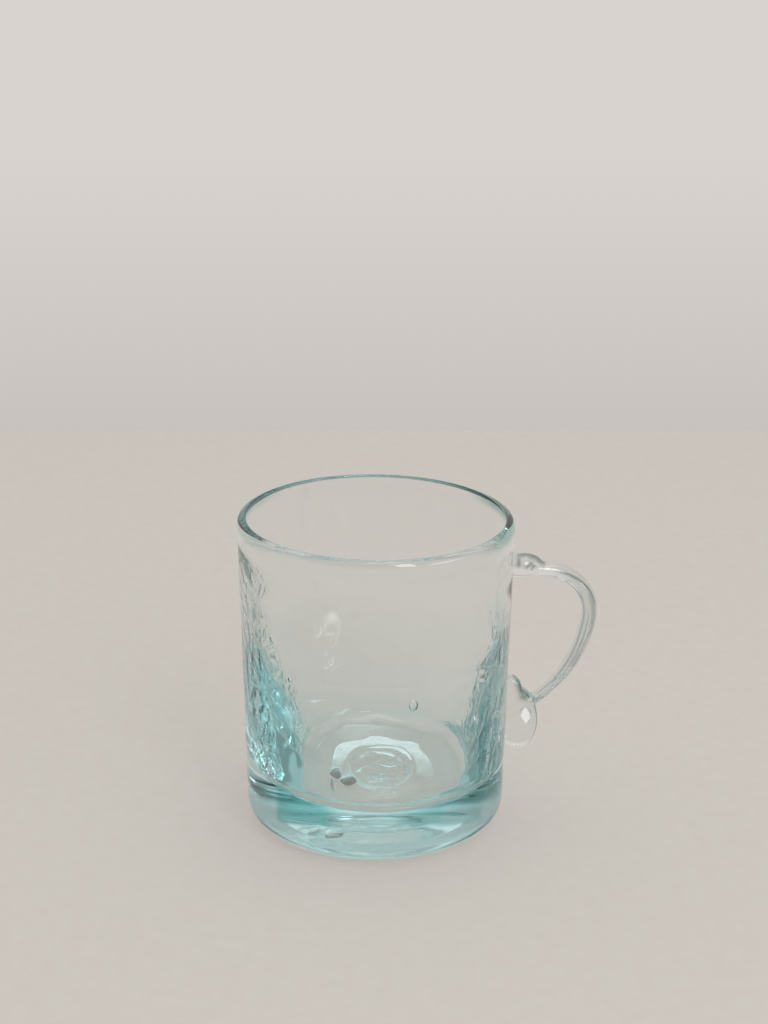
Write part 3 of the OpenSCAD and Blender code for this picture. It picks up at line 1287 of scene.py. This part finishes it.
class NodeBench:
    """Lays out and links the nodes of one material or group."""

    def __init__(self, tree: bpy.types.NodeTree) -> None:
        """Starts on a node tree."""
        self.tree = tree

    def add(self, kind: str, **settings: object) -> bpy.types.Node:
        """Adds a node.

        Args:
            kind: The node's type without its common prefix.
            settings: Values for the node's own properties.

        Returns:
            The node.
        """
        node = self.tree.nodes.new("ShaderNode" + kind)
        row, column = divmod(len(self.tree.nodes), NODES_PER_ROW)
        node.location = (NODE_STEP[0] * (column - NODES_PER_ROW / 2), -NODE_STEP[1] * row)
        for key, value in settings.items():
            setattr(node, key, value)
        return node

    def feed(self, socket: bpy.types.NodeSocket, source: object) -> None:
        """Links a socket to another one, or sets its value.

        Args:
            socket: The socket that is fed.
            source: A value or socket.
        """
        if isinstance(source, bpy.types.NodeSocket):
            self.tree.links.new(source, socket)
        else:
            socket.default_value = source

    def math(
        self, operation: str, first: object, second: object, clamp: bool = False
    ) -> bpy.types.NodeSocket:
        """Adds a sum of two values.

        Args:
            operation: The sum's kind.
            first: A value or socket.
            second: A value or socket.
            clamp: Whether the result is kept within 0 to 1.

        Returns:
            The result's socket.
        """
        node = self.add("Math", operation=operation, use_clamp=clamp)
        self.feed(node.inputs[0], first)
        self.feed(node.inputs[1], second)
        return node.outputs[0]

    def times(self, *factors: object) -> bpy.types.NodeSocket:
        """Multiplies two or more values or sockets."""
        return reduce(lambda product, factor: self.math("MULTIPLY", product, factor), factors)

    def blend(self, share: object, first: object, second: object) -> bpy.types.NodeSocket:
        """Blends two colours.

        Args:
            share: How much of the second colour shows.
            first: A colour or socket.
            second: A colour or socket.

        Returns:
            The blended colour's socket.
        """
        node = self.add("Mix", data_type="RGBA")
        self.feed(node.inputs[0], share)
        self.feed(node.inputs[MIX_FIRST], first)
        self.feed(node.inputs[MIX_SECOND], second)
        return node.outputs[MIX_RESULT]

    def noise(
        self, scale: object, detail: float, stretch: Triple = (1, 1, 1)
    ) -> bpy.types.NodeSocket:
        """Adds a noise in the piece's own coordinates.

        Args:
            scale: Waves to the metre, or a socket.
            detail: Finer layers of noise.
            stretch: How the coordinates are scaled first.

        Returns:
            The noise's value, about 0.5 on average.
        """
        place = self.add("TexCoord").outputs["Object"]
        mapping = self.add("Mapping")
        mapping.inputs["Scale"].default_value = stretch
        self.feed(mapping.inputs["Vector"], place)
        node = self.add("TexNoise")
        self.feed(node.inputs["Vector"], mapping.outputs[0])
        self.feed(node.inputs["Scale"], scale)
        node.inputs["Detail"].default_value = detail
        return node.outputs["Fac"]

    def rise(
        self, source: object, span: tuple[float, float], levels: tuple[float, float] = (0.0, 1.0)
    ) -> bpy.types.NodeSocket:
        """Adds a smooth change from one level to another.

        Args:
            source: The value or socket that it follows.
            span: The values between which it changes.
            levels: The level at each of them.

        Returns:
            The level's socket.
        """
        node = self.add("MapRange", interpolation_type="SMOOTHSTEP")
        self.feed(node.inputs["Value"], source)
        for key, value in zip(("From Min", "From Max", "To Min", "To Max"), (*span, *levels)):
            node.inputs[key].default_value = value
        return node.outputs[0]

    def attribute(self, name: str) -> bpy.types.NodeSocket:
        """Reads a value painted on the mesh."""
        return self.add("Attribute", attribute_name=name).outputs["Fac"]

    def group(self, tree: bpy.types.NodeTree, **values: object) -> bpy.types.Node:
        """Places a node group with its own values.

        Args:
            tree: The group.
            values: Values by input name, with _ for spaces.

        Returns:
            The group's node.
        """
        node = self.add("Group", node_tree=tree)
        for key, value in values.items():
            self.feed(node.inputs[key.replace("_", " ")], value)
        return node


@dataclass
class GroupShelf:
    """Builds each shared node group once."""

    lump_share: float = 0.7
    lump_detail: float = 1.0
    pit_share: float = 0.3
    pit_detail: float = 2.0
    pit_stretch: Triple = (1, 1, 0.6)
    cord_detail: float = 3.0
    cord_stretch: Triple = (1, 1, 0.25)
    scuff_detail: float = 4.0
    made: dict[str, bpy.types.NodeTree] = field(default_factory=dict)

    def start(
        self, name: str, inputs: dict[str, str], outputs: dict[str, str]
    ) -> tuple[NodeBench, bpy.types.Node, bpy.types.Node]:
        """Makes an empty group with named sockets.

        Args:
            name: The group's name.
            inputs: Socket types by input name.
            outputs: Socket types by output name.

        Returns:
            The group's bench, its input node and its output node.
        """
        tree = bpy.data.node_groups.new(name, "ShaderNodeTree")
        for direction, sockets in (("INPUT", inputs), ("OUTPUT", outputs)):
            for key, kind in sockets.items():
                tree.interface.new_socket(key, in_out=direction, socket_type="NodeSocket" + kind)
        self.made[name] = tree
        return NodeBench(tree), tree.nodes.new("NodeGroupInput"), tree.nodes.new("NodeGroupOutput")

    def weld_opening(self) -> bpy.types.NodeTree:
        """Makes the group that leaves a welded face open, so that the glass runs on through it.

        Returns:
            The group.
        """
        if "weld_opening" not in self.made:
            bench, _, out = self.start("weld_opening", {}, {"Alpha": "Float"})
            bench.feed(out.inputs["Alpha"], bench.math("SUBTRACT", 1.0, bench.attribute(WELD), clamp=True))
        return self.made["weld_opening"]

    def worked_skin(self) -> bpy.types.NodeTree:
        """Makes the group for the small hammered lumps of tooled glass.

        Returns:
            The group.
        """
        if "worked_skin" not in self.made:
            inputs = dict.fromkeys(("Lump Scale", "Pit Scale", "Base Share"), "Float")
            bench, given, out = self.start("worked_skin", inputs, {"Height": "Float"})
            lumps = bench.noise(given.outputs["Lump Scale"], self.lump_detail)
            pits = bench.noise(given.outputs["Pit Scale"], self.pit_detail, self.pit_stretch)
            both = bench.math("ADD", bench.times(lumps, self.lump_share), bench.times(pits, self.pit_share))
            share = bench.math("MAXIMUM", bench.attribute(WORKED), given.outputs["Base Share"])
            bench.feed(out.inputs["Height"], bench.times(both, share))
        return self.made["worked_skin"]

    def cords_and_painted_shade(self) -> bpy.types.NodeTree:
        """Makes the group for faint cords, the streaks of unevenly mixed glass, for soot and for painted
        shade.

        Returns:
            The group.
        """
        if "cords_and_painted_shade" not in self.made:
            inputs = {**dict.fromkeys(("Clear", "Cord", "Deep", "Soot"), "Color"), "Scale": "Float"}
            bench, given, out = self.start("cords_and_painted_shade", inputs, {"Color": "Color"})
            streak = bench.noise(given.outputs["Scale"], self.cord_detail, self.cord_stretch)
            glass = bench.blend(streak, given.outputs["Clear"], given.outputs["Cord"])
            # Lays the painted shade where the mesh asks for it
            glass = bench.blend(bench.attribute(PAINTED_SHADE), glass, given.outputs["Deep"])
            bench.feed(out.inputs["Color"], bench.blend(bench.attribute(SOOT), glass, given.outputs["Soot"]))
        return self.made["cords_and_painted_shade"]

    def scuffs(self) -> bpy.types.NodeTree:
        """Makes the group for the fine scuffs of a worn or broken skin.

        Returns:
            The group.
        """
        if "scuffs" not in self.made:
            inputs = dict.fromkeys(("Smooth", "Scuffed", "Base Share", "Scale"), "Float")
            bench, given, out = self.start("scuffs", inputs, {"Roughness": "Float"})
            grain = bench.noise(given.outputs["Scale"], self.scuff_detail)
            share = bench.math("MAXIMUM", bench.attribute(SCUFFED), given.outputs["Base Share"])
            added = bench.times(share, grain, given.outputs["Scuffed"])
            bench.feed(out.inputs["Roughness"], bench.math("ADD", given.outputs["Smooth"], added, clamp=True))
        return self.made["scuffs"]


@dataclass(frozen=True)
class GlassFinish:
    """A clear glass with its own tint, skin and wear, and the colour of its painted shade."""

    name: str
    absorb: Triple
    clear: Triple = (1.0, 1.0, 1.0)
    cord: Triple = (0.985, 0.995, 0.995)
    cord_scale: float = 90.0
    # Colour of the painted shade
    painted_shade: Triple = (0.16, 0.52, 0.5)
    soot: Triple = (0.05, 0.045, 0.04)
    lump_scale: float = 600.0
    pit_scale: float = 1400.0
    worked_share: float = 0.0
    bump_depth: float = 0.4
    smooth: float = 0.0
    scuffed: float = 0.0
    scuff_share: float = 0.0
    scuff_scale: float = 1200.0
    transmission: float = 1.0
    ior: float = 1.5

    def material(self, shelf: GroupShelf) -> bpy.types.Material:
        """Makes the finish's material.

        Args:
            shelf: The shared node groups.

        Returns:
            The material.
        """
        material = bpy.data.materials.new(self.name)
        material.use_nodes = True
        bench = NodeBench(material.node_tree)
        shader = material.node_tree.nodes["Principled BSDF"]
        tint = bench.group(
            shelf.cords_and_painted_shade(), Clear=(*self.clear, 1), Cord=(*self.cord, 1), Deep=(*self.painted_shade, 1),
            Soot=(*self.soot, 1), Scale=self.cord_scale,
        ).outputs["Color"]
        height = bench.group(
            shelf.worked_skin(), Lump_Scale=self.lump_scale, Pit_Scale=self.pit_scale,
            Base_Share=self.worked_share,
        ).outputs["Height"]
        wear = bench.group(
            shelf.scuffs(), Smooth=self.smooth, Scuffed=self.scuffed, Base_Share=self.scuff_share,
            Scale=self.scuff_scale,
        ).outputs["Roughness"]
        bump = bench.add("Bump")
        bump.inputs["Distance"].default_value = self.bump_depth * MM
        bench.feed(bump.inputs["Height"], height)
        bench.feed(shader.inputs["Base Color"], tint)
        bench.feed(shader.inputs["Roughness"], wear)
        bench.feed(shader.inputs["Normal"], bump.outputs[0])
        bench.feed(shader.inputs["Alpha"], bench.group(shelf.weld_opening()).outputs["Alpha"])
        shader.inputs["Transmission Weight"].default_value = self.transmission
        shader.inputs["IOR"].default_value = self.ior
        depth = bench.add("VolumeAbsorption")
        strongest = max(self.absorb)
        depth.inputs["Density"].default_value = strongest
        depth.inputs["Color"].default_value = (*(1 - a / strongest for a in self.absorb), 1)
        bench.feed(material.node_tree.nodes["Material Output"].inputs["Volume"], depth.outputs[0])
        return material


AQUA_GLASS = GlassFinish("aqua_glass", (10.2, 3.4, 3.1), scuffed=0.3)
# The handle's painted shade is a darker, greyer teal than the bowl's
HANDLE_GLASS = GlassFinish(
    "handle_glass", (9.0, 5.0, 5.0), worked_share=0.15, cord=(0.97, 0.99, 0.99), painted_shade=(0.11, 0.22, 0.21),
    bump_depth=0.08,
)
PONTIL_GLASS = GlassFinish(
    "pontil_glass", (6.0, 2.0, 2.0), cord=(0.86, 0.89, 0.88), cord_scale=500.0, worked_share=0.3,
    smooth=0.05, scuffed=0.25, scuff_share=1.0,
)


def linear(red: float, green: float, blue: float) -> Triple:
    """Turns a screen colour of 0 to 255 into the linear colour that a shader takes.

    Args:
        red: The screen colour's red.
        green: Its green.
        blue: Its blue.

    Returns:
        The linear colour.
    """
    # These are the fixed numbers of the usual screen curve
    shares = (value / 255 for value in (red, green, blue))
    return tuple(v / 12.92 if v <= 0.04045 else ((v + 0.055) / 1.055) ** 2.4 for v in shares)


@dataclass(frozen=True)
class SoftLamp:
    """A soft box lamp, by its place and size in millimetres and its power in watts."""

    name: str
    place: Triple
    wide: float
    tall: float
    power: float
    seen_through_glass: bool

    def hang(self, target: Triple) -> None:
        """Hangs the lamp so that it faces a place.

        Args:
            target: The place in millimetres.
        """
        light = bpy.data.lights.new(self.name, "AREA")
        light.shape, light.energy = "RECTANGLE", self.power
        light.size, light.size_y = self.wide * MM, self.tall * MM
        obj = shown(self.name, light)
        obj.location = Vector(self.place) * MM
        obj.visible_transmission = self.seen_through_glass
        obj.rotation_euler = (Vector(target) * MM - obj.location).to_track_quat("-Z", "Y").to_euler()


class SecondTone(Enum):
    """Where a ground's second colour lies."""

    FLECKS = "in flecks all over"
    SHADED_FOOT = "along the foot of the wall"


@dataclass
class Studio:
    """The pale table, the wall behind it, the soft lamps and the camera."""

    # Table and wall, with their screen colours
    table_far: float = 310.0
    table_half: float = 2600.0
    table_near: float = -2600.0
    drop: float = 0.05
    wall_y: float = 720.0
    wall_top: float = 400.0
    wall_low: float = -900.0
    table_colour: Triple = (205.0, 200.0, 193.0)
    table_fleck: Triple = (199.0, 193.0, 186.0)
    fleck_scale: float = 260.0
    fleck_detail: float = 3.0
    wall_colour: Triple = (216.0, 211.0, 206.0)
    wall_shade: Triple = (196.0, 191.0, 187.0)
    shade_foot: float = 150.0
    shade_rate: float = 5.5
    matt: float = 0.8
    table_share: float = 0.65
    wall_share: float = 1.0
    # Sky by its height, the darker room on the viewer's side and the window in it
    sky: Triple = (1.0, 0.985, 0.965)
    sky_rise: tuple[float, float] = (0.35, 0.85)
    sky_levels: tuple[float, float] = (0.36, 1.1)
    room_edge: tuple[float, float] = (-0.15, -0.45)
    room_rise: tuple[float, float] = (0.38, 0.48)
    room_shade: float = 0.55
    window_span: tuple[float, float, float, float] = (0.2, 0.3, 0.4, 0.48)
    window_side: tuple[float, float] = (0.62, 0.75)
    window_glow: float = 5.2
    # Lamps and camera
    lamps: tuple[SoftLamp, ...] = (
        SoftLamp("soft_key", (400, -785, 780), 260, 700, 3.6, False),
        SoftLamp("soft_top", (100, 100, 1200), 600, 600, 2.0, True),
    )
    lamp_target: Triple = (0, 0, 40)
    camera_place: Triple = (2.093, -487.44, 241.14)
    camera_pitch: float = 18.875
    lens: float = 80.086
    sensor: float = 36.0
    near_clip: float = 10.0
    bounces: int = 32
    glossy_bounces: int = 16
    open_bounces: int = 48

    def ground(
        self, name: str, colour: Triple, second: Triple, plain: float, tone: SecondTone
    ) -> bpy.types.Material:
        """Makes a pale matt material that keeps some of its plain colour in shadow.

        Args:
            name: The material's name.
            colour: The main screen colour.
            second: The second screen colour.
            plain: How much of the plain colour shows whatever the light.
            tone: Where the second colour lies.

        Returns:
            The material.
        """
        material = bpy.data.materials.new(name)
        material.use_nodes = True
        bench = NodeBench(material.node_tree)
        shader = material.node_tree.nodes["Principled BSDF"]
        # Painted shade: the wall's colour darkens towards its foot, behind the table's far edge
        if tone is SecondTone.SHADED_FOOT:
            place = bench.add("SeparateXYZ")
            bench.feed(place.inputs[0], bench.add("TexCoord").outputs["Object"])
            above = bench.math("ADD", place.outputs["Z"], self.shade_foot * MM)
            risen = bench.math("MULTIPLY", above, self.shade_rate, clamp=True)
            share = bench.math("SUBTRACT", 1.0, risen, clamp=True)
        else:
            share = bench.noise(self.fleck_scale, self.fleck_detail)
        mixed = bench.blend(share, (*linear(*colour), 1), (*linear(*second), 1))
        bench.feed(shader.inputs["Base Color"], mixed)
        shader.inputs["Roughness"].default_value = self.matt
        glow = bench.add("Emission")
        bench.feed(glow.inputs["Color"], mixed)
        path = bench.add("LightPath")
        in_glass = bench.math("MAXIMUM", path.outputs["Is Glossy Ray"], path.outputs["Is Transmission Ray"])
        seen = bench.math("MAXIMUM", path.outputs["Is Camera Ray"], in_glass)
        mix = bench.add("MixShader")
        bench.feed(mix.inputs[0], bench.times(seen, plain))
        bench.feed(mix.inputs[1], shader.outputs[0])
        bench.feed(mix.inputs[2], glow.outputs[0])
        bench.feed(material.node_tree.nodes["Material Output"].inputs["Surface"], mix.outputs[0])
        return material

    def sheet(self, name: str, corners: Sequence[Triple], material: bpy.types.Material) -> None:
        """Lays one flat sheet of the stage.

        Args:
            name: The sheet's name.
            corners: Its four corners.
            material: Its material.
        """
        mesh = bpy.data.meshes.new(name)
        mesh.from_pydata([tuple(c * MM for c in corner) for corner in corners], [], [(0, 1, 2, 3)])
        mesh.materials.append(material)
        shown(name, mesh)

    def build_stage(self) -> None:
        """Lays the table and stands the wall behind it."""
        w, low = self.table_half, -self.drop
        near, far, foot, top = self.table_near, self.table_far, self.wall_low, self.wall_top
        table = self.ground(
            "pale_table", self.table_colour, self.table_fleck, self.table_share, SecondTone.FLECKS
        )
        self.sheet("table", [(-w, near, low), (w, near, low), (w, far, low), (-w, far, low)], table)
        wall = self.ground("pale_wall", self.wall_colour, self.wall_shade, self.wall_share, SecondTone.SHADED_FOOT)
        y = self.wall_y
        self.sheet("wall", [(-w, y, foot), (w, y, foot), (w, y, top), (-w, y, top)], wall)

    def build_light(self) -> None:
        """Sets the sky, with a darker room and a window on the viewer's side, and hangs the lamps."""
        world = bpy.data.worlds.new("pale_sky")
        bpy.context.scene.world = world
        world.use_nodes = True
        sky = world.node_tree.nodes["Background"]
        sky.inputs["Color"].default_value = (*self.sky, 1)
        bench = NodeBench(world.node_tree)
        way = bench.add("SeparateXYZ")
        bench.feed(way.inputs[0], bench.add("TexCoord").outputs["Generated"])
        x, y, z = (way.outputs[axis] for axis in "XYZ")
        level = bench.rise(z, self.sky_rise, self.sky_levels)
        near = bench.rise(y, self.room_edge)
        room = bench.times(near, bench.rise(z, self.room_rise), self.room_shade)
        shaded = bench.times(level, bench.math("SUBTRACT", 1.0, room))
        from_z, full_z, last_z, to_z = self.window_span
        window = bench.times(bench.rise(z, (from_z, full_z)), bench.rise(z, (last_z, to_z), (1.0, 0.0)))
        glow = bench.times(near, bench.rise(x, self.window_side), window, self.window_glow)
        bench.feed(sky.inputs["Strength"], bench.math("ADD", shaded, glow))
        for lamp in self.lamps:
            lamp.hang(self.lamp_target)

    def build_camera(self) -> None:
        """Sets the camera at the photograph's viewing angle."""
        camera = bpy.data.cameras.new("camera")
        camera.sensor_width, camera.lens, camera.clip_start = self.sensor, self.lens, self.near_clip * MM
        obj = shown("camera", camera)
        obj.location = Vector(self.camera_place) * MM
        obj.rotation_euler = (math.radians(90 - self.camera_pitch), 0, 0)
        scene = bpy.context.scene
        scene.camera = obj
        scene.view_settings.view_transform = "Standard"
        scene.cycles.max_bounces = self.bounces
        scene.cycles.transmission_bounces = self.bounces
        scene.cycles.glossy_bounces = self.glossy_bounces
        scene.cycles.transparent_max_bounces = self.open_bounces


def dress(piece: bpy.types.Object, node: str, material: bpy.types.Material) -> None:
    """Gives a piece its material and its place in the frame.

    Args:
        piece: The piece.
        node: The node that it stands for.
        material: Its material.
    """
    piece.data.materials.clear()
    piece.data.materials.append(material)
    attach(piece, BODY)
    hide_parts(node)
    LOG.info("%s stands for %s with %d faces", piece.name, node, len(piece.data.polygons))


def main() -> None:
    """Builds the cup, its handle and the studio in order."""
    logging.basicConfig(level=logging.INFO, format="%(name)s: %(message)s")
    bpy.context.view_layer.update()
    cup, handle, shelf, studio = Cup(), Handle(), GroupShelf(), Studio()
    aqua, clear, scar = (finish.material(shelf) for finish in (AQUA_GLASS, HANDLE_GLASS, PONTIL_GLASS))

    skin = handle.skin()
    seat, _ = cut_away("handle_seat", skin.copy(), cup.envelope(handle.weld_depth))
    dress(cup.build_bowl(seat), "bowl", aqua)
    dress(cup.build_base(), "base", aqua)
    dress(cup.build_pontil(), "pontil_mark", scar)
    for node, piece in handle.build(cup, skin).items():
        dress(piece, node, clear)

    studio.build_stage()
    studio.build_light()
    studio.build_camera()


if __name__ == "__main__":
    main()
